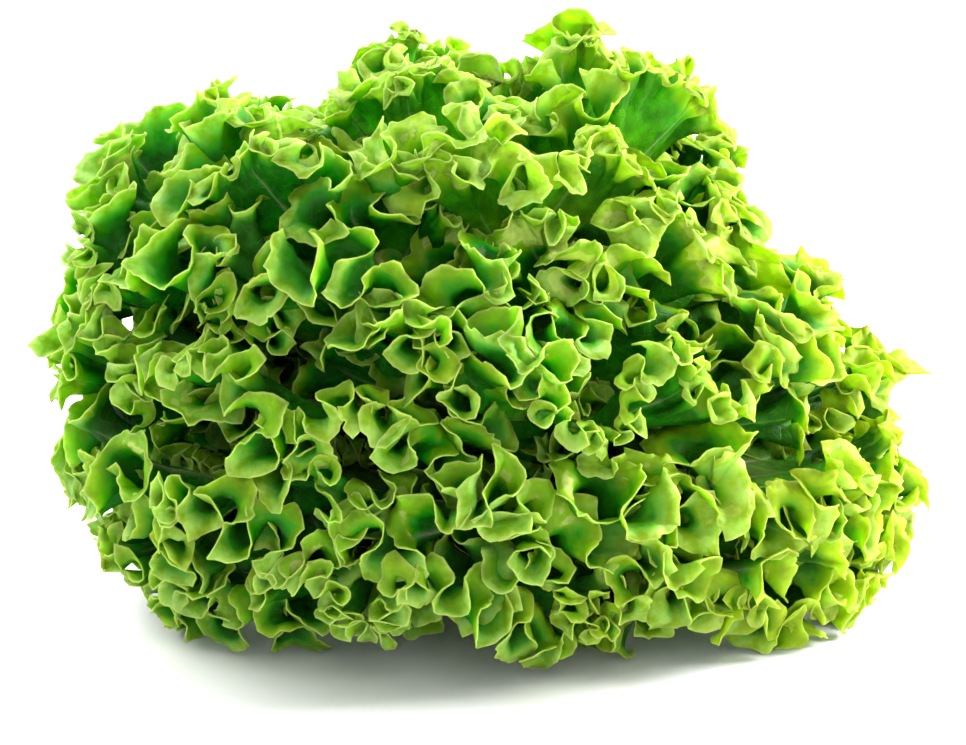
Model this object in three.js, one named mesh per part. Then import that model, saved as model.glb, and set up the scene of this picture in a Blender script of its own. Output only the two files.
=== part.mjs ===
// Leaf lettuce: one loose head of frilled green leaves, standing on the cut end of its own short stem.
// Millimetres, +Z up. The origin is the centre of the stem's cut face, and the widest way is along X.
//
// Every leaf is one closed blade of its own, set round the stem in the golden-angle spiral of the real
// plant. The blades lie on a family of nested sheets, numbered by an order from 0 to 1: the sheet of
// order 0 runs low and outward and droops to the table, the sheet of order 1 stands up in the heart,
// and no two sheets cross, so no two leaves do. An azimuth is an angle round the stem, from +X.
import * as THREE from "three";
import { mergeVertices } from "three/addons/utils/BufferGeometryUtils.js";

const { cos, sin, hypot, PI, abs, min, max, tanh } = Math;
const radians = THREE.MathUtils.degToRad;
const clamp01 = (x) => min(1, max(0, x));
const smoothstep = (low, high, x) => THREE.MathUtils.smoothstep(x, low, high);

// ---- driving dimensions ----
const LEAVES = 40;
const OUTER = 13; // the oldest leaves, which droop to the table
const HEART = 8; // the youngest leaves, closed over the growing tip
const GOLDEN_ANGLE = radians(137.508);
const FIRST_LEAF = radians(200);

const STEM_RADIUS = 17; // at the cut face
const STUMP_HEIGHT = 5; // straight part between the cut face and the lowest leaf
const STEM_DOME = 46; // height of the round part that carries the leaves
const CUT_EDGE = 0.8; // bevel round the cut face
const YOUNGEST_FOOT = radians(80); // round the dome from the stump to the youngest leaf's foot
const STEM_GAP = 0.35; // between a leaf's foot and the stem

const CROWN_HEIGHT = 197; // height that the leaf tips reach over the stem
const HEART_DEPTH = 20; // how far the youngest leaves stay below the crown
const HEART_START = 0.9; // order from which they do
const SPREAD = 130; // mean reach of the leaf tips from the axis
const SPREAD_OVAL = 13; // added left and right, taken off front and back
const SPREAD_FLAT = 9; // the side at this azimuth is flatter, seen from above
const FLAT_SIDE = radians(-52);
const WAIST_HEIGHT = 51; // height of the widest ring
const WAIST_TILT = 24; // the ring sits this much lower on +X and higher on -X
const SHOULDER = 2.15; // roundness of the outline above the ring: 2 is an ellipse
const SHOULDER_TILT = 0.3; // squarer on -X, more sloping on +X
const SHOULDER_DROP = 13; // the shoulder sinks by this much on -X
const FLANK_DENT = 20; // the flank between ring and shoulder is drawn in by this much on +X
const UNDERCUT = radians(31); // how far the outline turns under below the ring
const UNDERCUT_TILT = radians(5);
const LOWEST_TIP = 3.2; // height of the outermost tips over the table

const LOWEST_RISE = radians(20); // slope at which the oldest leaf leaves the stem
const STEEPENING = radians(66); // added by the youngest leaf
const FOOT_PULL = 0.42; // how long a leaf keeps its first slope, as a share of its span
const TIP_PULL = 0.34; // the same at its tip
const TIP_NOD = radians(6); // how much a tip bends outward from the outline's own slope

const LEAF_WIDTH = 168; // across an outer leaf, along its sheet
const HEART_NARROWING = 104; // taken off by the youngest leaf
const NARROWING_START = 0.55; // order from which leaves are narrower
const WAISTING = 1.4; // how strongly the blade narrows towards its foot
const FULLNESS = 0.72; // largest value of the outline's own curve, at that waisting
const FOOT_CLASP = radians(38); // how far a leaf's foot reaches round the stem, each way
const WRAP = radians(80); // how far a leaf may reach round the head, each way
const HEART_WRAP_LOSS = radians(30);
const TIGHTEST_WRAP = 4; // radius that the wrap of a leaf never goes below
const BLADE = 1.2; // thickness, which stands for the folded tissue of the frill
const PLEATS = 10; // round one leaf's margin
const PLEAT = 4.2; // largest height of the margin's pleats, each way
const PLEAT_ROOM = 0.7; // share of the room between two sheets that a pleat may take
const BLADE_ROOM = 0.75; // and what the next blade keeps of it, in millimetres

const COLUMNS = 2 * PLEATS; // points round the margin, one on each pleat's crest
const ROWS = [0, 0.34, 0.68, 1]; // from the midrib out to the margin
const VEIN_START = 0.62; // a vein leaves the midrib at this share of the height that it ends at
const FOOT_OPENING = 0.985; // share of the outline that is margin, the rest being the foot's end
const DOME_STEPS = 9;
const STEM_SIDES = 28;

// A leaf's foot on the stem's dome, held off it by the gap and half the blade: [radius, height].
function leafFoot(order) {
  const angle = YOUNGEST_FOOT * order;
  const normal = new THREE.Vector2(cos(angle) / STEM_RADIUS, sin(angle) / STEM_DOME).normalize();
  const onStem = new THREE.Vector2(STEM_RADIUS * cos(angle), STUMP_HEIGHT + STEM_DOME * sin(angle));
  return onStem.addScaledVector(normal, STEM_GAP + BLADE / 2);
}

// The head's outline: where the tip of a leaf of this order and azimuth stands, and how far it leans.
function leafTip(order, azimuth) {
  const side = cos(azimuth);
  const flat = SPREAD_FLAT * max(0, cos(azimuth - FLAT_SIDE)) ** 6;
  const reach = SPREAD + SPREAD_OVAL * cos(2 * azimuth) - flat;
  const waist = WAIST_HEIGHT - WAIST_TILT * side;
  const roundness = SHOULDER - SHOULDER_TILT * side;
  const under = sin(UNDERCUT - UNDERCUT_TILT * side);
  const rise = min(1, -under + (1 + under) * order);
  const lean = Math.asin(rise);
  if (rise < 0) {
    const z = waist + ((waist - LOWEST_TIP) * rise) / under;
    return { r: reach * cos(lean), z, lean };
  }
  const inHeart = clamp01((order - HEART_START) / (1 - HEART_START));
  const crown = CROWN_HEIGHT - HEART_DEPTH * inHeart ** 1.5;
  const drop = ((SHOULDER_DROP * (1 - side)) / 2) * smoothstep(0, 0.5, rise) * (1 - smoothstep(0.9, 1, rise));
  const dent = ((FLANK_DENT * (1 + side)) / 2) * smoothstep(0, 0.6, rise) * (1 - smoothstep(0.62, 0.8, rise));
  const r = reach * cos(lean) ** (2 / roundness) - dent;
  const z = waist + (crown - waist) * rise ** (2 / roundness) - drop;
  return { r, z, lean };
}

// The sheet of one order, cut at one azimuth: a curve from the stem to the outline, as [radius, height].
function sheetCurve(order, azimuth) {
  const foot = leafFoot(order);
  const tip = leafTip(order, azimuth);
  const start = LOWEST_RISE + STEEPENING * order ** 0.6;
  const end = tip.lean * 0.95 - TIP_NOD;
  const span = hypot(tip.r - foot.x, tip.z - foot.y);
  const rising = new THREE.Vector2(cos(start), sin(start)).multiplyScalar(FOOT_PULL * span).add(foot);
  const top = new THREE.Vector2(tip.r, tip.z);
  const falling = new THREE.Vector2(-cos(end), -sin(end)).multiplyScalar(TIP_PULL * span).add(top);
  return new THREE.CubicBezierCurve(foot, rising, falling, top);
}

// The flat blade's outline, narrow at the foot and broad and round above. The angle runs round the
// margin, from the foot's left end over the tip (0) to its right end.
function outline(angle, length, width, footWidth) {
  const along = (1 + cos(angle)) / 2;
  const across = (width / 2 / FULLNESS) * sin(angle) * cos(angle / 2) ** WAISTING;
  const clasp = Math.sign(angle) * (footWidth / 2) * (1 - along) ** 2;
  return [across + clasp, along * length];
}

// One leaf: a closed blade on its sheet, with points where its veins cross the rows.
function leafGeometry(index) {
  const order = (index + 0.5) / LEAVES;
  const azimuth = FIRST_LEAF + index * GOLDEN_ANGLE;
  const spine = sheetCurve(order, azimuth);
  const length = spine.getLength();
  const width = LEAF_WIDTH - HEART_NARROWING * smoothstep(NARROWING_START, 1, order);
  const footWidth = 2 * FOOT_CLASP * leafFoot(order).x;
  const widestWrap = WRAP - HEART_WRAP_LOSS * order ** 6;

  // The flat point (across, along) laid on the leaf's sheet.
  const onSheet = (across, along) => {
    const t = clamp01(along / length);
    const r = max(TIGHTEST_WRAP, spine.getPointAt(t).x);
    const turn = azimuth + widestWrap * tanh(across / r / widestWrap);
    const p = sheetCurve(order, turn).getPointAt(t);
    return new THREE.Vector3(p.x * cos(turn), p.x * sin(turn), p.y);
  };
  // Veins run from the midrib out to the margin: a point is its vein and its share of the way out.
  const flatPoint = (column, row) => {
    const angle = PI * FOOT_OPENING * (-1 + (2 * column) / COLUMNS);
    const [x, y] = outline(angle, length, width, footWidth);
    return [x * ROWS[row], y * (VEIN_START + (1 - VEIN_START) * ROWS[row])];
  };
  // Outward normal of the sheet, from two short steps across and along it.
  const normalAt = ([x, y]) => {
    const step = 1;
    const here = min(y, length - step);
    const across = onSheet(x + step, here).sub(onSheet(x - step, here));
    const along = onSheet(x, here + step).sub(onSheet(x, here));
    return across.cross(along).normalize();
  };
  // Pleats stand up and down in turn, no higher than the room between this sheet and the next.
  const pleatHeight = (column, row, y) => {
    const t = clamp01(y / length);
    const next = sheetCurve(order + 1 / LEAVES, azimuth).getPointAt(t).sub(spine.getPointAt(t));
    const room = abs(next.cross(spine.getTangentAt(t)));
    const height = min(PLEAT, max(0, PLEAT_ROOM * room - BLADE_ROOM));
    return (column % 2 ? height : -height) * ROWS[row] ** 2;
  };

  const upper = [];
  const lower = [];
  for (let row = 0; row < ROWS.length; row += 1) {
    for (let column = 0; column <= COLUMNS; column += 1) {
      // On the midrib the left and the right vein start from the same point.
      const own = row === 0 ? min(column, COLUMNS - column) : column;
      const flat = flatPoint(own, row);
      const normal = normalAt(flat);
      const middle = onSheet(...flat).addScaledVector(normal, pleatHeight(own, row, flat[1]));
      upper.push(middle.clone().addScaledVector(normal, BLADE / 2));
      lower.push(middle.addScaledVector(normal, -BLADE / 2));
    }
  }
  return bladeGeometry(upper, lower);
}

// Closes the two grids of points into one solid: both faces, the margin and the foot's two ends.
function bladeGeometry(upper, lower) {
  const stride = COLUMNS + 1;
  const last = ROWS.length - 1;
  const under = upper.length;
  const faces = [];
  const quad = (a, b, c, d) => faces.push(a, b, c, a, c, d);
  for (let row = 0; row < last; row += 1) {
    const left = row * stride;
    const right = left + COLUMNS;
    for (let a = left; a < right; a += 1) {
      quad(a, a + 1, a + 1 + stride, a + stride);
      quad(under + a, under + a + stride, under + a + 1 + stride, under + a + 1);
    }
    quad(left, left + stride, under + left + stride, under + left);
    quad(right + stride, right, under + right, under + right + stride);
  }
  for (let a = last * stride; a < last * stride + COLUMNS; a += 1) {
    quad(a, a + 1, under + a + 1, under + a);
  }
  const geometry = new THREE.BufferGeometry().setFromPoints([...upper, ...lower]);
  geometry.setIndex(faces);
  return withoutFlatFaces(mergeVertices(geometry, 1e-4));
}

// Drops the faces that merging the doubled points on the midrib has flattened.
function withoutFlatFaces(geometry) {
  const index = geometry.index.array;
  const kept = [];
  for (let i = 0; i < index.length; i += 3) {
    const [a, b, c] = [index[i], index[i + 1], index[i + 2]];
    if (a !== b && b !== c && a !== c) kept.push(a, b, c);
  }
  geometry.setIndex(kept);
  geometry.computeVertexNormals();
  return geometry;
}

// The stem: a short stump with a flat cut foot and a round growing tip.
function stemGeometry() {
  const profile = [new THREE.Vector2(0, 0), new THREE.Vector2(STEM_RADIUS - CUT_EDGE, 0)];
  profile.push(new THREE.Vector2(STEM_RADIUS, CUT_EDGE));
  for (let i = 0; i < DOME_STEPS; i += 1) {
    const angle = ((i / DOME_STEPS) * PI) / 2;
    profile.push(new THREE.Vector2(STEM_RADIUS * cos(angle), STUMP_HEIGHT + STEM_DOME * sin(angle)));
  }
  profile.push(new THREE.Vector2(0, STUMP_HEIGHT + STEM_DOME));
  const lathe = new THREE.LatheGeometry(profile, STEM_SIDES);
  lathe.rotateX(PI / 2);
  return lathe;
}

// ---- the head ----
const head = new THREE.Group();

function add(name, geometry, color, roughness) {
  const mesh = new THREE.Mesh(geometry, new THREE.MeshStandardMaterial({ color, roughness, metalness: 0 }));
  mesh.name = name;
  head.add(mesh);
}

add("stem", stemGeometry(), 0xd9dcae, 0.6);

// The leaves, from the oldest to the youngest.
const kinds = [
  { name: "outer_leaf", count: OUTER, color: 0x6eaa1f },
  { name: "inner_leaf", count: LEAVES - OUTER - HEART, color: 0x86bd2f },
  { name: "heart_leaf", count: HEART, color: 0xb4d65a },
];
let index = 0;
for (const { name, count, color } of kinds) {
  for (let number = 1; number <= count; number += 1) {
    add(`${name}_${String(number).padStart(2, "0")}`, leafGeometry(index), color, 0.45);
    index += 1;
  }
}

export default head;
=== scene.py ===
import math

import bpy
import numpy as np
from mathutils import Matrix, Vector


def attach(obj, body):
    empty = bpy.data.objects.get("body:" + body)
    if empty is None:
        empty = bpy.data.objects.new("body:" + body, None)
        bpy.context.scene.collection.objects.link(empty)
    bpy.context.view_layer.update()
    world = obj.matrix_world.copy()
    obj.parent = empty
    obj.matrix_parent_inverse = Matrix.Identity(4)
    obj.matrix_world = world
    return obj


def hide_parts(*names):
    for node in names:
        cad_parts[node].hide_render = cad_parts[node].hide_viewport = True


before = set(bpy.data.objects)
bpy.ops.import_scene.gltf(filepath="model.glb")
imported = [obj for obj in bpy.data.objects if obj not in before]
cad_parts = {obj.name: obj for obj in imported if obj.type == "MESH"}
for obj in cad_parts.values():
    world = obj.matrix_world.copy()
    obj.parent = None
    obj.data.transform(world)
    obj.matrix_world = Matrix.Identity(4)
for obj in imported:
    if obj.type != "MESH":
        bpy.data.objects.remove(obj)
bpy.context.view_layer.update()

# ---------------------------------------------------------------------------
# Camera
# The head stands on a table and is seen from the front and a little above, through a short
# telephoto lens, so that its near side isn't swollen.
# ---------------------------------------------------------------------------
CAMERA_LENS = 85
CAMERA_DISTANCE = 0.735
CAMERA_ELEVATION = math.radians(12.5)
CAMERA_TARGET = Vector((0.0, 0.0, 0.073))

camera_data = bpy.data.cameras.new("camera")
camera_data.lens = CAMERA_LENS
camera_data.clip_start = 0.01
camera = bpy.data.objects.new("camera", camera_data)
bpy.context.scene.collection.objects.link(camera)
bpy.context.scene.camera = camera
towards_camera = Vector((0.0, -math.cos(CAMERA_ELEVATION), math.sin(CAMERA_ELEVATION)))
camera.location = CAMERA_TARGET + towards_camera * CAMERA_DISTANCE
camera.rotation_euler = (-towards_camera).to_track_quat("-Z", "Y").to_euler()

# ---------------------------------------------------------------------------
# Stem
# The short core that every leaf grows from: pale, dense flesh, ringed by the scars of leaves that
# were stripped off, and cut straight across at harvest. The cut's milky sap dries to a rusty brown.
# ---------------------------------------------------------------------------
MM = 0.001
GOLDEN_ANGLE = math.radians(137.508)
STEM_RADIUS = 17.0
STUMP_HEIGHT = 5.0
STEM_DOME = 46.0
STEM_SEGMENTS = 96
DOME_RINGS = 14
STEM_SCARS = 9
SCAR_DEPTH = 0.7
SCAR_HEIGHT = 3.0
SCAR_LENGTH = 7.5
SAP_RING_WIDTH = 1.1  # between the rings of vessels on the cut


def linear(hex_colour):
    """sRGB hex, as '#rrggbb', to the linear RGBA that the shaders take."""
    channels = [int(hex_colour[i:i + 2], 16) / 255 for i in (1, 3, 5)]
    return [c / 12.92 if c <= 0.04045 else ((c + 0.055) / 1.055) ** 2.4 for c in channels] + [1.0]


def add_node(tree, kind, inputs=None, **settings):
    """Adds a node. Each input is a value, a socket, or a node whose first output it takes."""
    node = tree.nodes.new(kind)
    for name, value in settings.items():
        setattr(node, name, value)
    for key, value in (inputs or {}).items():
        if isinstance(value, bpy.types.Node):
            value = value.outputs[0]
        if isinstance(value, bpy.types.NodeSocket):
            tree.links.new(value, node.inputs[key])
        else:
            node.inputs[key].default_value = value
    return node


def new_material(name):
    """An empty material and its node tree."""
    material = bpy.data.materials.new(name)
    material.use_nodes = True
    material.node_tree.nodes.clear()
    return material, material.node_tree


def with_stops(ramp, stops):
    """Gives a colour ramp its stops, as (position, hex colour)."""
    elements = ramp.color_ramp.elements
    for position, colour in stops[1:-1]:
        elements.new(position).color = linear(colour)
    elements[0].position, elements[0].color = stops[0][0], linear(stops[0][1])
    elements[-1].position, elements[-1].color = stops[-1][0], linear(stops[-1][1])
    return ramp


def dress(piece, node):
    """Hands a finished piece to the frame: it rides on the only body and stands for its solid."""
    bpy.context.scene.collection.objects.link(piece)
    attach(piece, "root")
    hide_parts(node)


def stem_flesh():
    """Cut stem flesh: wet, pale and slightly see-through, with rusty dried sap on the cut face."""
    material, tree = new_material("stem_flesh_cut_and_dried")
    place = add_node(tree, "ShaderNodeTexCoord").outputs["Object"]
    split = add_node(tree, "ShaderNodeSeparateXYZ", {0: place})
    flat = add_node(tree, "ShaderNodeCombineXYZ", {0: split.outputs[0], 1: split.outputs[1]})
    radius = add_node(tree, "ShaderNodeVectorMath", {0: flat}, operation="LENGTH").outputs["Value"]
    blotch = add_node(tree, "ShaderNodeTexNoise", {"Vector": place, "Scale": 1 / (7 * MM), "Detail": 4.0})
    rings = add_node(tree, "ShaderNodeMath", {0: radius, 1: 2 * math.pi / (SAP_RING_WIDTH * MM)},
                     operation="MULTIPLY")
    rings = add_node(tree, "ShaderNodeMath", {0: rings}, operation="SINE")
    sap = add_node(tree, "ShaderNodeMath", {0: rings, 1: 0.12, 2: blotch.outputs[0]},
                   operation="MULTIPLY_ADD")
    rust = with_stops(add_node(tree, "ShaderNodeValToRGB", {0: sap}),
                      [(0.3, "#ddd9ae"), (0.5, "#cdb27a"), (0.68, "#a4713c")])
    on_cut = add_node(tree, "ShaderNodeMapRange",
                      {0: split.outputs[2], 1: 0.2 * MM, 2: 1.6 * MM, 3: 1.0, 4: 0.0})
    flesh = with_stops(add_node(tree, "ShaderNodeValToRGB", {0: blotch}),
                       [(0.3, "#c9d39a"), (0.7, "#e6e8c6")])
    colour = add_node(tree, "ShaderNodeMix", {0: on_cut, 6: flesh, 7: rust}, data_type="RGBA")
    grain = add_node(tree, "ShaderNodeBump", {"Height": sap, "Strength": 0.4, "Distance": 0.3 * MM})
    shader = add_node(tree, "ShaderNodeBsdfPrincipled", {
        "Base Color": colour.outputs[2], "Roughness": 0.42, "IOR": 1.38, "Normal": grain})
    add_node(tree, "ShaderNodeOutputMaterial", {0: shader})
    return material


def stem_mesh():
    """The stump and its dome as one closed skin, dented where leaves were stripped off."""
    climb = np.linspace(0, math.pi / 2, DOME_RINGS)
    radii = np.concatenate([[0.25, 0.6, 0.93, 1.0, 1.0], np.cos(climb)[:-1]]) * STEM_RADIUS
    heights = np.concatenate([[0.5, 0.3, 0.0, 0.9, 0.7 * STUMP_HEIGHT],
                              STUMP_HEIGHT + STEM_DOME * np.sin(climb)[:-1]])
    turn = np.arange(STEM_SEGMENTS) * 2 * math.pi / STEM_SEGMENTS
    dent = np.zeros((len(radii), STEM_SEGMENTS))
    for scar in range(STEM_SCARS):
        height = STUMP_HEIGHT * (0.3 + 1.6 * scar / STEM_SCARS)
        away = np.angle(np.exp(1j * (turn - scar * GOLDEN_ANGLE))) * STEM_RADIUS / SCAR_LENGTH
        rise = (heights[:, None] - height) / SCAR_HEIGHT
        dent = np.maximum(dent, SCAR_DEPTH * np.exp(-away ** 2 - rise ** 2))
    reach = (radii[:, None] - dent * (heights[:, None] > 0.5)) * MM
    rings = np.stack([reach * np.cos(turn), reach * np.sin(turn), reach * 0 + heights[:, None] * MM], -1)
    vertices = [(0, 0, heights[0] * MM), *rings.reshape(-1, 3).tolist()]
    vertices.append((0, 0, (STUMP_HEIGHT + STEM_DOME) * MM))
    faces = []
    for segment in range(STEM_SEGMENTS):
        after = (segment + 1) % STEM_SEGMENTS
        faces.append((0, 1 + after, 1 + segment))
        for ring in range(len(radii) - 1):
            low, high = 1 + ring * STEM_SEGMENTS, 1 + (ring + 1) * STEM_SEGMENTS
            faces.append((low + segment, low + after, high + after, high + segment))
        last = 1 + (len(radii) - 1) * STEM_SEGMENTS
        faces.append((last + segment, last + after, len(vertices) - 1))
    mesh = bpy.data.meshes.new("cut_stem")
    mesh.from_pydata(vertices, [], faces)
    mesh.shade_smooth()
    mesh.materials.append(stem_flesh())
    return mesh


dress(bpy.data.objects.new("cut_stem", stem_mesh()), "stem")

# ---------------------------------------------------------------------------
# Outer leaves
# The thirteen oldest leaves, soft and thin, with a juicy midrib. The margin grew far faster than the
# blade, so it is thrown into waves and these into folds that double back on themselves; each leaf is
# fixed to the stem by its foot alone. The head's nested sheets are laid out as the solids have them.
# ---------------------------------------------------------------------------
LEAVES = 40  # on the whole head
OUTER_LEAVES = 13
BLADE_SEED = 400
FIRST_LEAF = math.radians(200)  # azimuth of the oldest leaf
YOUNGEST_FOOT = math.radians(80)  # round the dome from the stump to the youngest leaf's foot
FOOT_CLEARANCE = 0.95  # from the stem to the middle of a leaf's foot

CROWN_HEIGHT = 197.0  # height that the leaf tips reach over the stem
HEART_DEPTH = 20.0  # how far the youngest leaves stay below the crown
HEART_START = 0.9  # order from which they do
SPREAD = 130.0  # mean reach of the leaf tips from the axis
SPREAD_OVAL = 13.0  # added left and right, taken off front and back
SPREAD_FLAT = 9.0  # the side at this azimuth is flatter, seen from above
FLAT_SIDE = math.radians(-52)
WAIST_HEIGHT = 51.0  # height of the widest ring
WAIST_TILT = 24.0  # the ring sits this much lower on +X and higher on -X
SHOULDER = 2.15  # roundness of the outline above the ring: 2 is an ellipse
SHOULDER_TILT = 0.3  # squarer on -X, more sloping on +X
SHOULDER_DROP = 13.0  # the shoulder sinks by this much on -X
FLANK_DENT = 20.0  # the flank between ring and shoulder is drawn in by this much on +X
UNDERCUT = math.radians(31)  # how far the outline turns under below the ring
UNDERCUT_TILT = math.radians(5)
LOWEST_TIP = 3.2  # height of the outermost tips over the table
LOWEST_RISE = math.radians(20)  # slope at which the oldest leaf leaves the stem
STEEPENING = math.radians(66)  # added by the youngest leaf
FOOT_PULL = 0.42  # how long a leaf keeps its first slope, as a share of its span
TIP_PULL = 0.34  # the same at its tip
TIP_NOD = math.radians(6)  # how much a tip bends outward from the outline's own slope

LEAF_WIDTH = 172.0  # across an outer leaf, laid flat
HEART_NARROWING = 88.0  # taken off by the youngest leaf
NARROWING_START = 0.55  # order from which leaves are narrower
FOOT_WIDTH = 19.0  # of an outer leaf
FOOT_NARROWING = 9.0  # taken off by the youngest leaf's
WAISTING = 1.15  # how strongly the blade narrows towards its foot
FULLNESS = 0.76  # largest value of the outline's own curve, at that waisting
WRAP = math.radians(105)  # how far a leaf may reach round the head, each way
TIGHTEST_WRAP = 4  # radius that the wrap of a leaf never goes below
VEIN_START = 0.62  # a vein leaves the midrib at this share of the height that it ends at
SHEET_STEPS = 80
MARGIN_SHARE = 0.995  # of the outline, the rest being the foot's end
FINE_STEPS = 6001  # along the margin, where its folds are laid out

# From the midrib (0) out to the margin (1), with the columns that each row has: every 32nd to all.
ROWS = [(0.0, 32), (0.15, 32), (0.31, 16), (0.45, 16), (0.56, 8), (0.66, 8),
        (0.75, 4), (0.825, 4), (0.885, 2), (0.927, 2), (0.965, 2), (1.0, 1)]
WAVES_START = 0.05  # share of the way out from the midrib where waves and folds start
WAVES_FULL = 0.6  # and where they have grown to the full
END_FADE = 0.08  # share of the margin at its ends over which the waves die out
FOOT_FADE = 0.12  # share of the leaf's length over which the folds do
PHASE_DRIFT = 40  # way along the margin over which the waves get out of step
HEIGHT_DRIFT = 37  # over which their height changes
CURL_DRIFT = 60  # over which the curl does
WIDTH_DRIFT = 50  # over which the folds' width does
LEAST_BEND = 1e-4  # because the arc of a straight lip would be divided by nothing
COLUMN_UNIT = 64  # a leaf has a whole number of these, so that both halves share the coarsest columns
COLUMNS_PER_VEIN = 128
RIM_STEP = 1.3  # between columns, along the folded rim
WIDEST_FOLD = 1.5  # in mean folds
TOOTH_SHARE = {0.965: 0.3, 1.0: 1.0}  # how much of a tooth's height each row takes
TOOTH_SPACING = (3, 10)  # in columns, always fewer than the second
TOOTH_SLOPES = ((1, 0.6), (2, 0.3), (3, 0.1))  # columns beside a tooth, and how much of it they take
RIPPLE_DEPTH = 0.4  # how far in from the margin the ripples die out, in fold widths
CRUMPLE_LENGTH = 17  # from one dent of the crumpled margin to the next
CRUMPLE_DEPTH = 16.0  # how far in from the margin the crumpling dies out
LEVELLING = 6  # height over the table in which a hanging margin bends level
RIB_SIDES = 6
MERGE_DISTANCE = 1e-6


def smoothstep(low, high, x):
    """Rises gently from 0 at low to 1 at high."""
    share = np.clip((x - low) / (high - low), 0, 1)
    return share * share * (3 - 2 * share)


def unit(vectors):
    """The same directions, one unit long."""
    return vectors / (np.linalg.norm(vectors, axis=-1, keepdims=True) + 1e-9)


def arc_length(points):
    """The way along a line of points, up to each of them."""
    steps = np.linalg.norm(np.diff(points, axis=0), axis=1)
    return np.concatenate([[0], np.cumsum(steps)])


def wander(x, seed, waves=5):
    """A smooth wave without a beat, between about -1 and 1."""
    rng = np.random.default_rng(seed)
    total = np.zeros_like(x)
    for wave in range(waves):
        pace = 0.73 * wave + rng.uniform(0.6, 1.4)
        total += rng.uniform(0.5, 1) * np.sin(x * pace + rng.uniform(0, 2 * math.pi))
    return total / (0.47 * waves)


def leaf_tip(order, azimuth):
    """Where the tip of a leaf of this order and azimuth stands: radius, height, and its lean."""
    side = np.cos(azimuth)
    reach = SPREAD + SPREAD_OVAL * np.cos(2 * azimuth)
    reach = reach - SPREAD_FLAT * np.maximum(0, np.cos(azimuth - FLAT_SIDE)) ** 6
    waist = WAIST_HEIGHT - WAIST_TILT * side
    roundness = SHOULDER - SHOULDER_TILT * side
    under = np.sin(UNDERCUT - UNDERCUT_TILT * side)
    rise = np.minimum(1, -under + (1 + under) * order)
    lean = np.arcsin(rise)
    in_heart = np.clip((order - HEART_START) / (1 - HEART_START), 0, 1)
    crown = CROWN_HEIGHT - HEART_DEPTH * in_heart ** 1.5
    lower = waist + (waist - LOWEST_TIP) * rise / under
    upper = waist + (crown - waist) * np.maximum(rise, 0) ** (2 / roundness)
    upper -= SHOULDER_DROP * (1 - side) / 2 * smoothstep(0, 0.5, rise) * (1 - smoothstep(0.9, 1, rise))
    dent = FLANK_DENT * (1 + side) / 2 * smoothstep(0, 0.6, rise) * (1 - smoothstep(0.62, 0.8, rise))
    power = np.where(rise < 0, 1.0, 2 / roundness)
    return reach * np.cos(lean) ** power - dent, np.where(rise < 0, lower, upper), lean


def sheet(order, azimuth, t):
    """The nested sheets that the leaves lie on: radius and height at share t of the way out."""
    angle = YOUNGEST_FOOT * order
    out, up = math.cos(angle) / STEM_RADIUS, math.sin(angle) / STEM_DOME
    clear = FOOT_CLEARANCE / math.hypot(out, up)
    foot_r = STEM_RADIUS * math.cos(angle) + out * clear
    foot_z = STUMP_HEIGHT + STEM_DOME * math.sin(angle) + up * clear
    tip_r, tip_z, lean = leaf_tip(order, azimuth)
    start = LOWEST_RISE + STEEPENING * order ** 0.6
    end = lean * 0.95 - TIP_NOD
    span = np.hypot(tip_r - foot_r, tip_z - foot_z)
    r = [foot_r, foot_r + FOOT_PULL * span * math.cos(start), tip_r - TIP_PULL * span * np.cos(end), tip_r]
    z = [foot_z, foot_z + FOOT_PULL * span * math.sin(start), tip_z - TIP_PULL * span * np.sin(end), tip_z]
    weights = [(1 - t) ** 3, 3 * (1 - t) ** 2 * t, 3 * (1 - t) * t ** 2, t ** 3]
    return sum(w * x for w, x in zip(weights, r)), sum(w * x for w, x in zip(weights, z))


def coarseness(height):
    """Towards the foot, deep in the head, the folds stand further apart."""
    return 1 + 2.5 * (1 - smoothstep(0.3, 0.58, height))


def surface_frame(points):
    """Unit vectors along the margin, outward and up off the blade, at each point of its grid."""
    along, outward = np.gradient(points, axis=1), np.gradient(points, axis=0)
    along[0], outward[0] = along[1], outward[1]
    along, outward = unit(along), unit(outward)
    return along, outward, unit(np.cross(along, outward))


def folded_rim(points, values, sizes):
    """Where a blade's rim will lie once its folds and lips are made."""
    along, outward, up = [side[-1] for side in surface_frame(points)]
    fold_width, fade = values["fold_width"][:, None], values["fade"][:, None]
    turns = 2 * math.pi * values["fold"][:, None]
    slide = values["loop"][:, None] * sizes["Overhang"] / (4 * math.pi) * np.sin(2 * turns)
    lift = sizes["Fold height"] * np.sin(turns)
    rim = points[-1] + fade * fold_width * (up * lift - along * slide)
    slope = unit(outward + fade / sizes["Fold depth"] * (up * lift - along * slide))
    normal = unit(np.cross(unit(np.gradient(rim, axis=0)), slope))
    bend = np.sin(turns) * sizes["Lip turn"] * values["turn"][:, None] + LEAST_BEND
    lip = fade * fold_width * sizes["Lip width"]
    return rim + lip * (normal * (1 - np.cos(bend)) / bend + outward * (np.sin(bend) / bend - 1))


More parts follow.
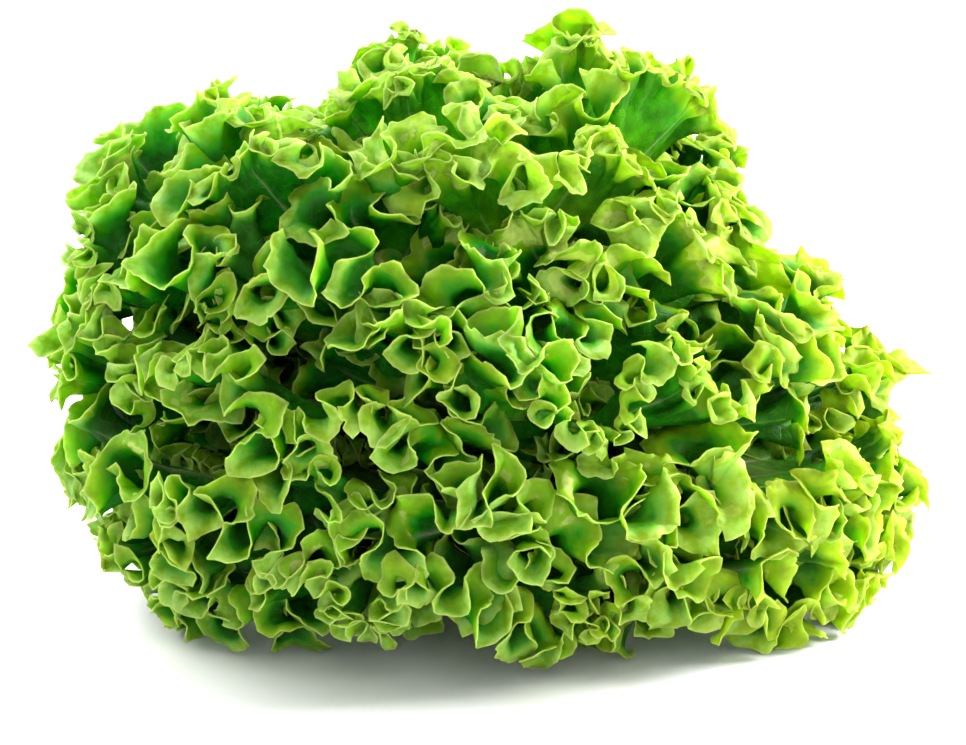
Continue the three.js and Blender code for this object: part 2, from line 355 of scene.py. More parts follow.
def waving_blade(index, habit, sizes):
    """One leaf's smooth blade with its broad waves, as a grid of points, and what its folds need."""
    rng = np.random.default_rng(BLADE_SEED + index)
    order = (index + 0.5) / LEAVES
    azimuth = FIRST_LEAF + index * GOLDEN_ANGLE
    t = np.linspace(0, 1, SHEET_STEPS)
    run = arc_length(np.stack(sheet(order, azimuth, t), -1))
    length = run[-1] * habit["reach"] * rng.uniform(0.96, 1.03)
    width = LEAF_WIDTH - HEART_NARROWING * smoothstep(NARROWING_START, 1, order)
    width = width * rng.uniform(0.93, 1.07)
    foot = FOOT_WIDTH - FOOT_NARROWING * order
    wave_shift = rng.uniform(0, 2 * math.pi)
    seeds = rng.integers(1 << 30, size=10)
    v = np.array([row for row, _ in ROWS])[:, None]

    def outline(angle):
        """The flat blade's margin, from the foot's left end over the tip to its right end."""
        y = (1 + np.cos(angle)) / 2
        x = width / 2 / FULLNESS * np.sin(angle) * np.cos(angle / 2) ** WAISTING
        return x + np.sign(angle) * foot / 2 * (1 - y) ** 2, y * length

    def on_sheet(x, y):
        """A point of the flat blade, laid on the leaf's sheet."""
        f = np.interp(y / run[-1], run / run[-1], t)
        r, _ = sheet(order, azimuth, f)
        turn = azimuth + WRAP * np.tanh(x / np.maximum(r, TIGHTEST_WRAP) / WRAP)
        r, z = sheet(order, turn, f)
        return np.stack([r * np.cos(turn), r * np.sin(turn), z], -1)

    def billow(angles):
        """The blade's points for columns that meet the margin at these angles round the outline."""
        mx, my = outline(angles)
        y0 = VEIN_START * my
        points = on_sheet(mx * v, y0 + (my - y0) * v)
        inset = (1 - v) * np.hypot(mx, my - y0)
        flat = arc_length(np.stack([mx, my], -1))
        s = flat - flat[-1] / 2
        fade = smoothstep(0, END_FADE, np.minimum(flat, flat[-1] - flat) / flat[-1])
        along, outward, up = surface_frame(points)
        grow = np.exp(-inset / habit["wave_depth"]) * smoothstep(WAVES_START, WAVES_FULL, v) * fade
        phase = 2 * math.pi * s / habit["wave_width"] + 1.2 * wander(s / PHASE_DRIFT, seeds[0]) + wave_shift
        height = habit["wave_height"] * (1 + 0.5 * wander(s / HEIGHT_DRIFT, seeds[1]))
        slide = habit["wave_overhang"] * habit["wave_width"] / (4 * math.pi)
        points = points + up * (grow * height * np.sin(phase))[..., None]
        points = points - along * (grow * slide * np.sin(2 * phase))[..., None]
        curl = habit["curl"] * (1 + 0.6 * wander(s / CURL_DRIFT, seeds[2])) * smoothstep(0.2, 0.7, v) * fade
        points = points - up * (np.exp(-inset / habit["curl_depth"]) * curl)[..., None]
        return points, inset, my / length

    # The folds' own width wanders along the waving margin, and so do their depth and their lips.
    fine = np.linspace(-1, 1, FINE_STEPS) * math.pi * MARGIN_SHARE
    points, _, height = billow(fine)
    run_out = arc_length(points[-1])
    spacing = np.exp(habit["fold_spread"] * wander(run_out / WIDTH_DRIFT, seeds[3]))
    spacing = np.minimum(spacing, WIDEST_FOLD)
    spacing = habit["fold_width"] * spacing * rng.uniform(*habit["fold_range"]) * coarseness(height)
    folds = np.concatenate([[0], np.cumsum(np.diff(run_out) * 2 / (spacing[1:] + spacing[:-1]))])
    column_values = dict(
        arc=run_out,
        fold=np.maximum.accumulate(folds + 0.2 * wander(folds / 1.7, seeds[4])),
        fold_width=spacing / coarseness(height) * (1 + 0.3 * wander(folds / 2.3, seeds[5])),
        turn=np.clip(0.8 + 0.55 * wander(folds / 0.7, seeds[6]), 0, 1.35),
        loop=np.clip(1.05 + 0.4 * wander(folds / 1.1, seeds[9]), 0.4, 1.3),
        ripple=np.sin(2 * math.pi * (2.3 * folds + 0.6 * wander(folds / 1.1, seeds[7])))
        * (0.55 + 0.45 * wander(folds / 1.9, seeds[8])),
        fade=smoothstep(0, FOOT_FADE, height))

    # The columns are spread evenly along the rim as it will lie once it is folded.
    rim_run = arc_length(folded_rim(points, column_values, sizes))
    columns = int(rim_run[-1] / RIM_STEP) // COLUMN_UNIT * COLUMN_UNIT
    place = np.interp(np.linspace(0, rim_run[-1], columns + 1), rim_run, fine)
    points, inset, _ = billow(place)
    along, outward, _ = surface_frame(points)
    column_values = {key: np.interp(place, fine, values) for key, values in column_values.items()}
    return dict(column_values, points=points, along=along, outward=outward, inset=inset,
                columns=columns, rng=rng)


def margin_teeth(columns, rng):
    """How far each column's end stands out as a tooth, and how far it is flicked up or down."""
    teeth, flick = np.zeros(columns + 1), np.zeros(columns + 1)
    column = 2
    while column < columns:
        teeth[column] = 0.15 + 0.85 * rng.uniform() ** 2
        flick[column] = rng.uniform(-1.0, 1.0)
        column += rng.integers(*TOOTH_SPACING)
    slope, bend = teeth.copy(), flick.copy()
    for step, share in TOOTH_SLOPES:
        slope = np.maximum(slope, share * np.maximum(np.roll(teeth, step), np.roll(teeth, -step)))
        bend = bend + 0.8 * share * (np.roll(flick, step) + np.roll(flick, -step))
    return slope + rng.uniform(0, 0.2, columns + 1), bend


def blade_mesh(name, blade, tone):
    """The blade as one sheet of faces, with fewer columns towards the midrib, which is one line."""
    columns = blade["columns"]
    teeth, flick = margin_teeth(columns, blade["rng"])
    vertices, ids, data = [], [], {}
    vectors = {"along": [], "outward": []}
    for row, (share, step) in enumerate(ROWS):
        ids.append({})
        for column in range(0, columns + 1, step):
            if row == 0 and column > columns // 2:
                ids[0][column] = ids[0][columns - column]
                continue
            ids[row][column] = len(vertices)
            vertices.append(blade["points"][row, column] * MM)
            inset, fold_width = blade["inset"][row, column], blade["fold_width"][column]
            middle = column == columns // 2
            on_vein = (column - columns // 2) % COLUMNS_PER_VEIN == 0 and 0 < share < 0.9
            to_foot = abs(2 * column / columns - 1)
            values = dict(share=share, inset=inset, arc=blade["arc"][column], fold=blade["fold"][column],
                          fold_width=fold_width, turn=blade["turn"][column], loop=blade["loop"][column],
                          fade=blade["fade"][column] * smoothstep(WAVES_START, WAVES_FULL, share),
                          tooth=teeth[column] * TOOTH_SHARE.get(share, 0.0),
                          flick=flick[column] * TOOTH_SHARE.get(share, 0.0),
                          ripple=blade["ripple"][column] * fold_width
                          * math.exp(-inset / (RIPPLE_DEPTH * fold_width)),
                          vein=float(on_vein or share == 0 and column % COLUMNS_PER_VEIN == 0),
                          midrib=float(row == 0 or middle and share < 0.9),
                          girth=(1 - share) ** 0.8 * (0.25 + 0.75 * to_foot))
            for key, value in values.items():
                data.setdefault(key, []).append(value)
            vectors["along"].append(blade["along"][row, column])
            vectors["outward"].append(blade["outward"][row, column])
    faces = []
    for row in range(len(ROWS) - 1):
        inner, outer = ids[row], ids[row + 1]
        step, fine = ROWS[row][1], ROWS[row + 1][1]
        for column in range(0, columns, step):
            a, b = inner[column], inner[column + step]
            c, d = outer[column + step], outer[column]
            if fine == step:
                faces.append((a, b, c, d) if a != b else (a, c, d))
                continue
            m = outer[column + fine]
            faces += [(a, m, d), (b, c, m)]
            if a != b:
                faces.append((a, b, m))
    mesh = bpy.data.meshes.new(name)
    mesh.from_pydata(vertices, [], faces)
    data["tone"] = [tone] * len(vertices)
    for key, values in data.items():
        mesh.attributes.new(key, "FLOAT", "POINT").data.foreach_set("value", np.array(values, "f"))
    for key, values in vectors.items():
        layer = mesh.attributes.new(key, "FLOAT_VECTOR", "POINT")
        layer.data.foreach_set("vector", np.array(values, "f").ravel())
    return mesh


def frill_tree():
    """Geometry nodes that fold the margin, cut its teeth, lay the ribs and give the blade its thickness."""
    tree = bpy.data.node_groups.new("frilled_leaf", "GeometryNodeTree")
    tree.interface.new_socket("Geometry", in_out="INPUT", socket_type="NodeSocketGeometry")
    for name in ("Fold height", "Fold depth", "Overhang", "Lip width", "Lip turn", "Tooth height", "Ripple",
                 "Crumple", "Flick", "Thickness", "Vein radius", "Midrib radius", "Table gap"):
        tree.interface.new_socket(name, in_out="INPUT", socket_type="NodeSocketFloat")
    tree.interface.new_socket("Blade", in_out="INPUT", socket_type="NodeSocketMaterial")
    tree.interface.new_socket("Geometry", in_out="OUTPUT", socket_type="NodeSocketGeometry")
    sizes = add_node(tree, "NodeGroupInput").outputs
    read = {name: add_node(tree, "GeometryNodeInputNamedAttribute", {"Name": name}, data_type="FLOAT")
            for name in ("inset", "fold", "fold_width", "turn", "loop", "fade", "tooth", "flick", "ripple",
                         "vein", "midrib", "girth")}
    along, outward = [
        add_node(tree, "GeometryNodeInputNamedAttribute", {"Name": name}, data_type="FLOAT_VECTOR")
        for name in ("along", "outward")]
    normal = add_node(tree, "GeometryNodeInputNormal")
    shape = sizes["Geometry"]

    # The folds swing up and down and double back on themselves, and die out inward from the margin.
    phase = add_node(tree, "ShaderNodeMath", {0: read["fold"], 1: 2 * math.pi}, operation="MULTIPLY")
    swing = add_node(tree, "ShaderNodeMath", {0: phase}, operation="SINE")
    twice = add_node(tree, "ShaderNodeMath", {0: phase, 1: 2.0}, operation="MULTIPLY")
    slide = add_node(tree, "ShaderNodeMath", {0: twice}, operation="SINE")
    depth = add_node(tree, "ShaderNodeMath", {0: read["fold_width"], 1: sizes["Fold depth"]},
                     operation="MULTIPLY")
    inward = add_node(tree, "ShaderNodeMath", {0: read["inset"], 1: depth}, operation="DIVIDE")
    inward = add_node(tree, "ShaderNodeMath", {0: inward, 1: -1.0}, operation="MULTIPLY")
    grow = add_node(tree, "ShaderNodeMath", {0: inward}, operation="EXPONENT")
    grow = add_node(tree, "ShaderNodeMath", {0: grow, 1: read["fade"]}, operation="MULTIPLY")
    grow = add_node(tree, "ShaderNodeMath", {0: grow, 1: read["fold_width"]}, operation="MULTIPLY")
    grow = add_node(tree, "ShaderNodeMath", {0: grow, 1: MM}, operation="MULTIPLY")
    height = add_node(tree, "ShaderNodeMath", {0: grow, 1: sizes["Fold height"]}, operation="MULTIPLY")
    height = add_node(tree, "ShaderNodeMath", {0: height, 1: swing}, operation="MULTIPLY")
    lift = add_node(tree, "ShaderNodeVectorMath", {0: normal, "Scale": height}, operation="SCALE")
    reach = add_node(tree, "ShaderNodeMath", {0: grow, 1: sizes["Overhang"]}, operation="MULTIPLY")
    reach = add_node(tree, "ShaderNodeMath", {0: reach, 1: read["loop"]}, operation="MULTIPLY")
    reach = add_node(tree, "ShaderNodeMath", {0: reach, 1: -1 / (4 * math.pi)}, operation="MULTIPLY")
    reach = add_node(tree, "ShaderNodeMath", {0: reach, 1: slide}, operation="MULTIPLY")
    push = add_node(tree, "ShaderNodeVectorMath", {0: along, "Scale": reach}, operation="SCALE")
    offset = add_node(tree, "ShaderNodeVectorMath", {0: lift, 1: push}, operation="ADD")
    shape = add_node(tree, "GeometryNodeSetPosition", {"Geometry": shape, "Offset": offset})

    # The lips: the last of the margin turns over in an arc, up on a crest and down in a trough. The
    # teeth stand out along that arc.
    lip = add_node(tree, "ShaderNodeMath", {0: read["fold_width"], 1: sizes["Lip width"]},
                   operation="MULTIPLY")
    past = add_node(tree, "ShaderNodeMath", {0: lip, 1: read["inset"]}, operation="SUBTRACT")
    past = add_node(tree, "ShaderNodeMath", {0: past, 1: 0.0}, operation="MAXIMUM")
    tooth = add_node(tree, "ShaderNodeMath", {0: read["tooth"], 1: sizes["Tooth height"]},
                     operation="MULTIPLY")
    run = add_node(tree, "ShaderNodeMath", {0: past, 1: tooth}, operation="ADD")
    angle = add_node(tree, "ShaderNodeMath", {0: run, 1: lip}, operation="DIVIDE")
    for factor in (swing, sizes["Lip turn"], read["turn"]):
        angle = add_node(tree, "ShaderNodeMath", {0: angle, 1: factor}, operation="MULTIPLY")
    angle = add_node(tree, "ShaderNodeMath", {0: angle, 1: LEAST_BEND}, operation="ADD")
    rise = add_node(tree, "ShaderNodeMath", {0: angle}, operation="COSINE")
    rise = add_node(tree, "ShaderNodeMath", {0: 1.0, 1: rise}, operation="SUBTRACT")
    onward = add_node(tree, "ShaderNodeMath", {0: angle}, operation="SINE")
    bend = []
    for amount, before, direction in ((rise, 0.0, normal), (onward, past, outward)):
        amount = add_node(tree, "ShaderNodeMath", {0: amount, 1: angle}, operation="DIVIDE")
        amount = add_node(tree, "ShaderNodeMath", {0: amount, 1: run}, operation="MULTIPLY")
        amount = add_node(tree, "ShaderNodeMath", {0: amount, 1: before}, operation="SUBTRACT")
        for factor in (read["fade"], MM):
            amount = add_node(tree, "ShaderNodeMath", {0: amount, 1: factor}, operation="MULTIPLY")
        bend.append(add_node(tree, "ShaderNodeVectorMath", {0: direction, "Scale": amount},
                             operation="SCALE"))
    offset = add_node(tree, "ShaderNodeVectorMath", {0: bend[0], 1: bend[1]}, operation="ADD")
    shape = add_node(tree, "GeometryNodeSetPosition", {"Geometry": shape, "Offset": offset})

    # Nothing grows quite evenly: the margin is crumpled, rippled and flicked, and the table stops what
    # would hang through it.
    uneven = add_node(tree, "ShaderNodeTexNoise",
                      {"Scale": 1 / (CRUMPLE_LENGTH * MM), "Detail": 2.0, "Roughness": 0.6})
    uneven = add_node(tree, "ShaderNodeVectorMath", {0: uneven.outputs["Color"], 1: (0.5, 0.5, 0.5)},
                      operation="SUBTRACT")
    near = add_node(tree, "ShaderNodeMath", {0: read["inset"], 1: -1 / CRUMPLE_DEPTH}, operation="MULTIPLY")
    near = add_node(tree, "ShaderNodeMath", {0: near}, operation="EXPONENT")
    near = add_node(tree, "ShaderNodeMath", {0: near, 1: sizes["Crumple"]}, operation="MULTIPLY")
    near = add_node(tree, "ShaderNodeMath", {0: near, 1: 4.0}, operation="MULTIPLY")
    crumple = add_node(tree, "ShaderNodeVectorMath", {0: uneven, "Scale": near}, operation="SCALE")
    ripple = add_node(tree, "ShaderNodeMath", {0: read["ripple"], 1: sizes["Ripple"]}, operation="MULTIPLY")
    aside = add_node(tree, "ShaderNodeMath", {0: read["flick"], 1: sizes["Flick"], 2: ripple},
                     operation="MULTIPLY_ADD")
    aside = add_node(tree, "ShaderNodeVectorMath", {0: normal, "Scale": aside}, operation="SCALE")
    offset = add_node(tree, "ShaderNodeVectorMath", {0: crumple, 1: aside}, operation="ADD")
    shape = add_node(tree, "GeometryNodeSetPosition", {"Geometry": shape, "Offset": offset})
    place = add_node(tree, "ShaderNodeSeparateXYZ", {0: add_node(tree, "GeometryNodeInputPosition")})
    height = add_node(tree, "ShaderNodeMath",
                      {0: place.outputs[2], 1: sizes["Table gap"], 2: LEVELLING * MM},
                      operation="SMOOTH_MAX")
    place = add_node(tree, "ShaderNodeCombineXYZ", {0: place.outputs[0], 1: place.outputs[1], 2: height})
    shape = add_node(tree, "GeometryNodeSetPosition", {"Geometry": shape, "Position": place})

    # The ribs are round bars half sunk in the blade, thinner outward.
    bars = []
    for name, radius in (("vein", sizes["Vein radius"]), ("midrib", sizes["Midrib radius"])):
        chosen = add_node(tree, "FunctionNodeCompare", {0: read[name], 1: 0.99}, data_type="FLOAT",
                          operation="GREATER_THAN")
        line = add_node(tree, "GeometryNodeMeshToCurve", {"Mesh": shape, "Selection": chosen})
        girth = add_node(tree, "ShaderNodeMath", {0: read["girth"], 1: radius}, operation="MULTIPLY")
        ring = add_node(tree, "GeometryNodeCurvePrimitiveCircle", {"Resolution": RIB_SIDES, "Radius": 1.0})
        bars.append(add_node(tree, "GeometryNodeCurveToMesh", {
            "Curve": line, "Profile Curve": ring, "Scale": girth, "Fill Caps": True}))

    # The blade's two faces and its rim. The upper face is marked, because the lower one is paler.
    half = add_node(tree, "ShaderNodeMath", {0: sizes["Thickness"], 1: -0.5}, operation="MULTIPLY")
    down = add_node(tree, "ShaderNodeVectorMath", {0: normal, "Scale": half}, operation="SCALE")
    lower = add_node(tree, "GeometryNodeSetPosition", {"Geometry": shape, "Offset": down})
    upper = add_node(tree, "GeometryNodeExtrudeMesh", {
        "Mesh": lower, "Offset": normal, "Offset Scale": sizes["Thickness"], "Individual": False},
        mode="FACES")
    marked = add_node(tree, "GeometryNodeStoreNamedAttribute", {
        "Geometry": upper.outputs["Mesh"], "Selection": upper.outputs["Top"], "Name": "upper", "Value": 1.0},
        data_type="FLOAT", domain="FACE")
    flipped = add_node(tree, "GeometryNodeFlipFaces", {"Mesh": lower})
    both = add_node(tree, "GeometryNodeJoinGeometry")
    for part in (marked, flipped):
        tree.links.new(part.outputs[0], both.inputs[0])
    closed = add_node(tree, "GeometryNodeMergeByDistance", {"Geometry": both, "Distance": MERGE_DISTANCE})
    whole = add_node(tree, "GeometryNodeJoinGeometry")
    for part in (closed, *bars):
        tree.links.new(part.outputs[0], whole.inputs[0])
    real = add_node(tree, "GeometryNodeRealizeInstances", {"Geometry": whole})
    smooth = add_node(tree, "GeometryNodeSetShadeSmooth", {"Geometry": real})
    finished = add_node(tree, "GeometryNodeSetMaterial", {"Geometry": smooth, "Material": sizes["Blade"]})
    add_node(tree, "NodeGroupOutput", {"Geometry": finished})
    return tree


FRILL = frill_tree()
FRILL_INPUTS = {item.name: item.identifier
                for item in FRILL.interface.items_tree if item.in_out == "INPUT"}


def frilled_leaf(name, blade, sizes, material):
    """Runs the tree over a blade and returns the finished leaf, with a plain mesh and no modifier."""
    draft = bpy.data.objects.new(name + "_draft", blade)
    bpy.context.scene.collection.objects.link(draft)
    modifier = draft.modifiers.new("frill", "NODES")
    modifier.node_group = FRILL
    for key, value in sizes.items():
        modifier[FRILL_INPUTS[key]] = value
    modifier[FRILL_INPUTS["Blade"]] = material
    draft.update_tag()
    evaluated = draft.evaluated_get(bpy.context.evaluated_depsgraph_get())
    mesh = bpy.data.meshes.new_from_object(evaluated)
    mesh.name = name
    bpy.data.objects.remove(draft)
    bpy.data.meshes.remove(blade)
    return bpy.data.objects.new(name, mesh)


# Leaf colours that every kind shares, and the sizes of their patterns.
GREENING_DEPTH = 50  # from the margin in to the palest part of the blade
PATCH = 26  # size of the patches in which a leaf's green varies
MOTTLE = 5  # size of its smaller mottling
NET_MESH = 3.0  # of the fine veins
PUCKER = 3.5  # size of the skin's dents
# Pale rim green: partly the margin's own paler colour and partly a painted highlight along the edge where it
# catches the light.
RIM_AND_HIGHLIGHT_GREEN = "#c8da70"
EDGE_GREEN = "#90bc28"
YELLOW_GREEN = "#c2cc2a"
# Paler underside green, also used for a painted sheen on the lips.
UNDERSIDE_AND_SHEEN_GREEN = "#b4cc80"


def leaf_blade(name, deep, middle, lively, young, pale, rib):
    """Living leaf: green flesh under a thin wax, which lets light through and is paler at ribs and rim. Its
    colour also holds painted light: a highlight along the rim, shade in the folds' throats, light on the +X
    side and sheen on the lips.
    """
    material, tree = new_material(name)
    read = {key: add_node(tree, "ShaderNodeAttribute", attribute_name=key).outputs["Fac"]
            for key in ("share", "inset", "arc", "vein", "tone", "upper")}
    place = add_node(tree, "ShaderNodeTexCoord").outputs["Object"]

    # Green by the distance in from the margin: a thin pale rim, then a yellow lip, then a band of deep green
    # about 8 to 13 mm in. That band is partly the blade's own deeper green and partly painted shade, where
    # the throats of the folds lie. The blade is paler again where it thickens towards its foot.
    inside = add_node(tree, "ShaderNodeMath", {0: read["inset"], 1: 1 / GREENING_DEPTH},
                      operation="MULTIPLY")
    patch = add_node(tree, "ShaderNodeTexNoise",
                     {"Vector": place, "Scale": 1 / (PATCH * MM), "Detail": 3.0})
    shift = add_node(tree, "ShaderNodeMapRange", {0: patch, 1: 0.3, 2: 0.7, 3: -0.1, 4: 0.1})
    mottle = add_node(tree, "ShaderNodeTexNoise",
                      {"Vector": place, "Scale": 1 / (MOTTLE * MM), "Detail": 4.0})
    small = add_node(tree, "ShaderNodeMapRange", {0: mottle, 1: 0.3, 2: 0.7, 3: -0.05, 4: 0.05})
    shift = add_node(tree, "ShaderNodeMath", {0: shift, 1: small}, operation="ADD")
    shift = add_node(tree, "ShaderNodeMath", {0: shift, 1: read["tone"]}, operation="ADD")
    rim = add_node(tree, "ShaderNodeMapRange", {0: inside, 1: 0.02, 2: 0.1, 3: 0.0, 4: 1.0})
    shift = add_node(tree, "ShaderNodeMath", {0: shift, 1: rim}, operation="MULTIPLY")
    inside = add_node(tree, "ShaderNodeMath", {0: inside, 1: shift}, operation="ADD")
    green = with_stops(add_node(tree, "ShaderNodeValToRGB", {0: inside}),
                       [(0.0, RIM_AND_HIGHLIGHT_GREEN), (0.009, EDGE_GREEN), (0.028, young), (0.065, lively),
                        (0.11, middle), (0.17, deep), (0.26, deep), (0.42, middle), (0.7, lively),
                        (1.0, pale)])

    # Painted light: the side of the head towards +X, where the soft box shines through the leaves, is
    # painted yellower and paler, most of all along the lips, on top of random yellow patches of the leaf's
    # own.
    split = add_node(tree, "ShaderNodeSeparateXYZ", {0: place})
    painted_side_light = add_node(tree, "ShaderNodeMapRange", {0: split.outputs[0], 1: 0.0, 2: 0.12, 3: 0.0, 4: 0.55})
    lips = add_node(tree, "ShaderNodeMapRange", {0: inside, 1: 0.03, 2: 0.14, 3: 1.0, 4: 0.1})
    patches_and_painted_light = add_node(tree, "ShaderNodeMapRange", {0: patch, 1: 0.5, 2: 0.66, 3: 0.0, 4: 0.25})
    patches_and_painted_light = add_node(tree, "ShaderNodeMath", {0: patches_and_painted_light, 1: painted_side_light}, operation="ADD")
    patches_and_painted_light = add_node(tree, "ShaderNodeMath", {0: patches_and_painted_light, 1: lips}, operation="MULTIPLY")
    green = add_node(tree, "ShaderNodeMix", {0: patches_and_painted_light, 6: green, 7: linear(YELLOW_GREEN)},
                     data_type="RGBA").outputs[2]
    grey = add_node(tree, "ShaderNodeMapRange", {0: mottle, 1: 0.3, 2: 0.7, 3: 0.72, 4: 1.2})
    green = add_node(tree, "ShaderNodeVectorMath", {0: green, "Scale": grey}, operation="SCALE").outputs[0]

    # Fine veins: a net laid over the blade from the margin inward.
    net_place = add_node(tree, "ShaderNodeCombineXYZ", {0: read["arc"], 1: read["inset"]})
    net = add_node(tree, "ShaderNodeTexVoronoi", {"Vector": net_place, "Scale": 1 / NET_MESH},
                   voronoi_dimensions="2D", feature="DISTANCE_TO_EDGE")
    vessel = add_node(tree, "ShaderNodeMapRange",
                      {0: net.outputs["Distance"], 1: 0.0, 2: 0.09, 3: 1.0, 4: 0.0})
    behind = add_node(tree, "ShaderNodeMapRange", {0: inside, 1: 0.12, 2: 0.3, 3: 0.15, 4: 1.0})
    vessel = add_node(tree, "ShaderNodeMath", {0: vessel, 1: behind}, operation="MULTIPLY")
    faint = add_node(tree, "ShaderNodeMath", {0: vessel, 1: 0.05}, operation="MULTIPLY")
    green = add_node(tree, "ShaderNodeMix", {0: faint, 6: green, 7: linear(rib)},
                     data_type="RGBA").outputs[2]

    # Ribs: white-green where the blade springs from the midrib, and along the main veins.
    root = add_node(tree, "ShaderNodeMapRange", {0: read["share"], 1: 0.0, 2: 0.3, 3: 0.9, 4: 0.0})
    line = add_node(tree, "ShaderNodeMath", {0: read["vein"], 1: 2.5}, operation="POWER")
    dim = add_node(tree, "ShaderNodeMapRange", {0: read["share"], 1: 0.1, 2: 0.95, 3: 0.75, 4: 0.12})
    line = add_node(tree, "ShaderNodeMath", {0: line, 1: dim}, operation="MULTIPLY")
    ribbed = add_node(tree, "ShaderNodeMath", {0: root, 1: line}, operation="MAXIMUM")
    colour = add_node(tree, "ShaderNodeMix", {0: ribbed, 6: green, 7: linear(rib)},
                      data_type="RGBA").outputs[2]

    # The lower face has fewer green cells, so it is a little duller and paler all over. The stronger pale
    # patches on its lips are a painted sheen.
    sheen_patches = add_node(tree, "ShaderNodeMapRange", {0: mottle, 1: 0.42, 2: 0.6, 3: 0.0, 4: 0.4})
    painted_lip_sheen = add_node(tree, "ShaderNodeMapRange", {0: inside, 1: 0.02, 2: 0.12, 3: sheen_patches, 4: 0.03})
    underside_and_sheen = add_node(tree, "ShaderNodeMapRange", {0: read["upper"], 1: 0.0, 2: 1.0, 3: painted_lip_sheen, 4: 0.0})
    colour = add_node(tree, "ShaderNodeMix", {0: underside_and_sheen, 6: colour, 7: linear(UNDERSIDE_AND_SHEEN_GREEN)},
                      data_type="RGBA").outputs[2]

    # The skin is puckered between its sunken veins, with wax of uneven gloss. Light comes through it
    # yellower than it went in.
    pucker = add_node(tree, "ShaderNodeTexNoise",
                      {"Vector": place, "Scale": 1 / (PUCKER * MM), "Detail": 2.0})
    relief = add_node(tree, "ShaderNodeMath", {0: vessel, 1: -0.35, 2: pucker}, operation="MULTIPLY_ADD")
    bump = add_node(tree, "ShaderNodeBump", {"Height": relief, "Strength": 0.6, "Distance": 0.8 * MM})
    wax = add_node(tree, "ShaderNodeMapRange", {0: patch, 1: 0.3, 2: 0.7, 3: 0.36, 4: 0.5})
    shader = add_node(tree, "ShaderNodeBsdfPrincipled", {
        "Base Color": colour, "Roughness": wax, "IOR": 1.42, "Specular IOR Level": 0.22, "Normal": bump})
    lit = add_node(tree, "ShaderNodeHueSaturation",
                   {"Hue": 0.498, "Saturation": 1.1, "Value": 1.5, "Color": colour})
    through = add_node(tree, "ShaderNodeBsdfTranslucent", {"Color": lit, "Normal": bump})
    flesh = add_node(tree, "ShaderNodeMixShader", {0: 0.45, 1: shader, 2: through})
    add_node(tree, "ShaderNodeOutputMaterial", {0: flesh})
    return material


def grow_leaves(name, first, count, habit, sizes, material):
    """Makes the leaves of one kind, from the oldest on, and hands them to the frame."""
    for number in range(count):
        index = first + number
        node = f"{name}_{number + 1:02d}"
        blade = waving_blade(index, habit, sizes)
        tone = blade["rng"].uniform(-0.09, 0.09)
        mesh = blade_mesh(node + "_blade", blade, tone)
        dress(frilled_leaf("frilled_" + node, mesh, sizes, material), node)


# A habit is how a leaf's blade waves and folds, in mm and in shares; sizes are what the tree above takes.
OUTER_HABIT = dict(reach=0.98, wave_width=46.0, wave_height=11.0, wave_depth=32.0, wave_overhang=1.0,
                   curl=8.0, curl_depth=18.0, fold_width=14.6, fold_spread=0.85, fold_range=(0.78, 1.18))
OUTER_SIZES = {"Fold height": 0.48, "Fold depth": 0.78, "Overhang": 1.45, "Lip width": 0.45, "Lip turn": 1.5,
               "Tooth height": 3.2, "Flick": 0.8 * MM, "Ripple": 0.11 * MM, "Crumple": 4.2 * MM,
               "Thickness": 0.42 * MM, "Vein radius": 0.9 * MM, "Midrib radius": 3.4 * MM,
               "Table gap": 0.8 * MM}
grow_leaves("outer_leaf", 0, OUTER_LEAVES, OUTER_HABIT, OUTER_SIZES,
            leaf_blade("outer_leaf_mature_green", deep="#086403", middle="#108605", lively="#359806",
                       young="#72aa0c", pale="#6fa23e", rib="#dfe9b6"))

# ---------------------------------------------------------------------------
# Inner leaves
# Nineteen younger leaves that make the shoulders of the head. They stand more upright, curl outward
# at the rim, and are a little yellower, because light reached them later.
# ---------------------------------------------------------------------------
INNER_LEAVES = 19
grow_leaves("inner_leaf", OUTER_LEAVES, INNER_LEAVES, dict(OUTER_HABIT, curl=12.0), OUTER_SIZES,
            leaf_blade("inner_leaf_fresh_green", deep="#0b6c03", middle="#169207", lively="#42a207",
                       young="#80b80e", pale="#7fb04a", rib="#e4edbc"))

# ---------------------------------------------------------------------------
# Heart leaves
# The eight youngest, small and pale, closed over the growing tip. Their folds are the finest.
# ---------------------------------------------------------------------------
HEART_LEAVES = 8
HEART_HABIT = dict(OUTER_HABIT, wave_width=34.0, wave_height=8.0, wave_depth=24.0, fold_width=11.8)
grow_leaves("heart_leaf", OUTER_LEAVES + INNER_LEAVES, HEART_LEAVES, HEART_HABIT, OUTER_SIZES,
            leaf_blade("heart_leaf_pale_green", deep="#3c980a", middle="#62b010", lively="#86bc16",
                       young="#aed02c", pale="#9ac266", rib="#eaf1c6"))

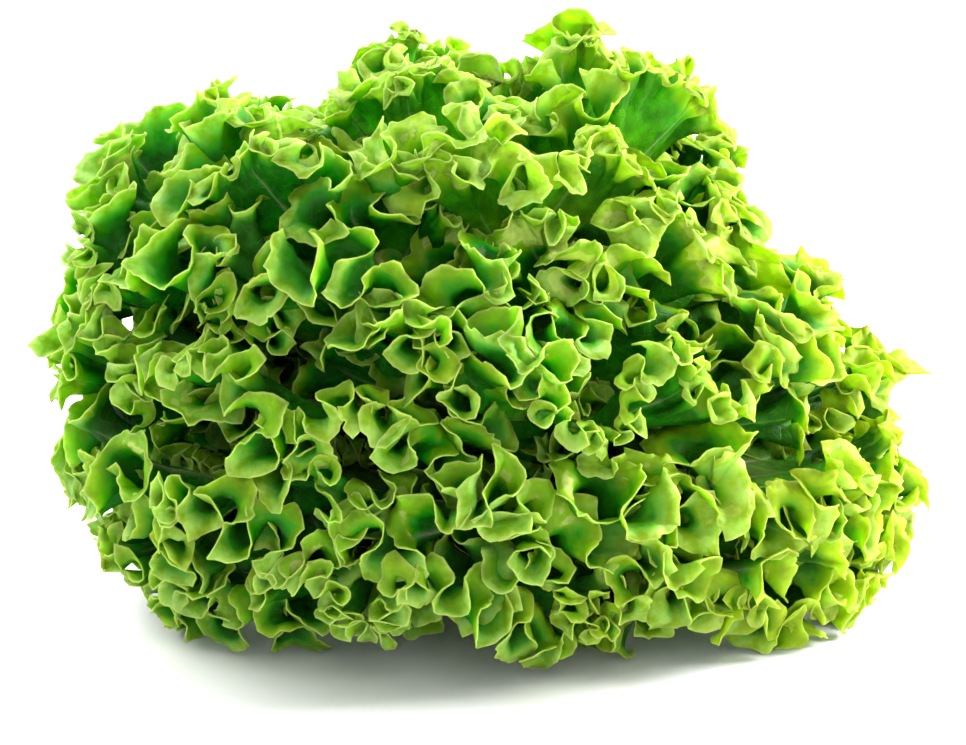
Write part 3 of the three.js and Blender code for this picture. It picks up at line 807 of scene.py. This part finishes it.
# ---------------------------------------------------------------------------
# Table and studio light
# A round table of plain white laminate whose edge curves up into a low wall. A soft box at the right
# shines through the thin leaves, weaker ones fill in from the left and the front, and one behind
# lights the wall. The room's own light is even and dim.
# ---------------------------------------------------------------------------
TABLE_CENTRE = -0.6
TABLE_RADIUS = 1.5
TABLE_SIDES = 96
BEND_RADIUS = 0.6
BEND_STEPS = 25
WALL_TOP = 1.5
bend = np.linspace(-math.pi / 2, 0, BEND_STEPS)
profile = [(TABLE_RADIUS + BEND_RADIUS * math.cos(a), BEND_RADIUS * (1 + math.sin(a))) for a in bend]
profile += [(TABLE_RADIUS + BEND_RADIUS, WALL_TOP)]
around = np.arange(TABLE_SIDES) * 2 * math.pi / TABLE_SIDES
corners = [(r * math.cos(a), TABLE_CENTRE + r * math.sin(a), z) for r, z in profile for a in around]
faces = [tuple(range(TABLE_SIDES))]
for ring in range(len(profile) - 1):
    low, high = ring * TABLE_SIDES, (ring + 1) * TABLE_SIDES
    for side in range(TABLE_SIDES):
        after = (side + 1) % TABLE_SIDES
        faces.append((high + side, high + after, low + after, low + side))
table_mesh = bpy.data.meshes.new("table_sweep")
table_mesh.from_pydata(corners, [], faces)
table_mesh.shade_smooth()
table = bpy.data.objects.new("table_sweep", table_mesh)
bpy.context.scene.collection.objects.link(table)

# Melamine laminate: a hard white resin film, faintly glossy, so the head's shadow stays soft and clean.
laminate, tree = new_material("white_laminate")
white = add_node(tree, "ShaderNodeBsdfPrincipled", {"Base Color": linear("#fafafa"), "Roughness": 0.5})
add_node(tree, "ShaderNodeOutputMaterial", {0: white})
table_mesh.materials.append(laminate)

ROOM_LIGHT = 0.12
world = bpy.data.worlds.new("studio")
bpy.context.scene.world = world
world.use_nodes = True
world.node_tree.nodes.clear()
room = add_node(world.node_tree, "ShaderNodeBackground",
                {"Color": (1.0, 1.0, 1.0, 1.0), "Strength": ROOM_LIGHT})
add_node(world.node_tree, "ShaderNodeOutputWorld", {0: room})

HEAD_MIDDLE = (0.0, 0.0, 0.08)
for name, place, aim, size, power in (
        ("right_soft_box", (0.88, 0.1, 0.55), HEAD_MIDDLE, 0.55, 30.0),
        ("left_soft_box", (-0.75, 0.2, 0.75), HEAD_MIDDLE, 0.7, 12.5),
        ("front_soft_box", (0.1, -1.0, 0.8), HEAD_MIDDLE, 0.9, 5.0),
        ("wall_light", (0.0, 1.0, 1.3), (0.0, 1.25, 0.0), 1.6, 60.0)):
    light = bpy.data.lights.new(name, "AREA")
    light.size, light.energy = size, power
    lamp = bpy.data.objects.new(name, light)
    bpy.context.scene.collection.objects.link(lamp)
    lamp.location = place
    lamp.rotation_euler = (Vector(aim) - Vector(place)).to_track_quat("-Z", "Y").to_euler()
bpy.context.scene.view_settings.view_transform = "Standard"
